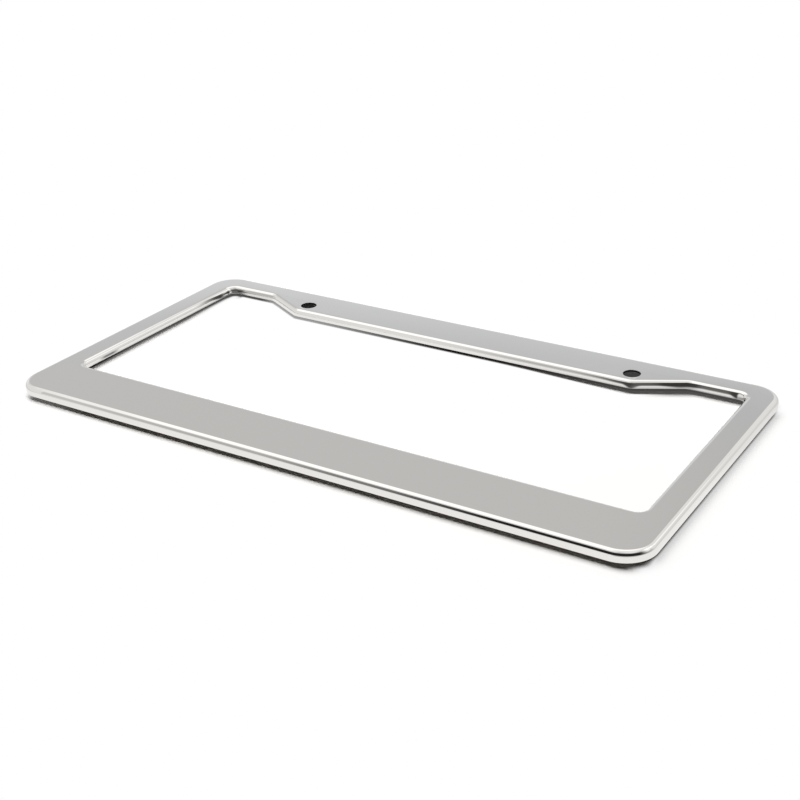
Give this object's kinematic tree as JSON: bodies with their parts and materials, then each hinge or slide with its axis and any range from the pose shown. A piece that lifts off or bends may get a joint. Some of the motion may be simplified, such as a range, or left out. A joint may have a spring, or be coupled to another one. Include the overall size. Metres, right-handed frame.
{
  "type": "number plate holder",
  "caption": "Flat rectangular frame pressed from polished steel sheet that goes over a car's number plate, with a stepped window and screw holes in its top bar.",
  "frame": {"origin": "middle of the outline, at the foot of the rim", "axes": "+X along the plate, to the right seen from the front; +Y up the plate, towards the bar with the screw holes; +Z out of the front face"},
  "size_m": [0.3092, 0.1568, 0.0044],
  "materials": {
    "polished_steel": "mirror polished stainless steel sheet"
  },
  "bodies": {
    "root": {"plate_frame": "polished_steel"}
  },
  "joints": []
}
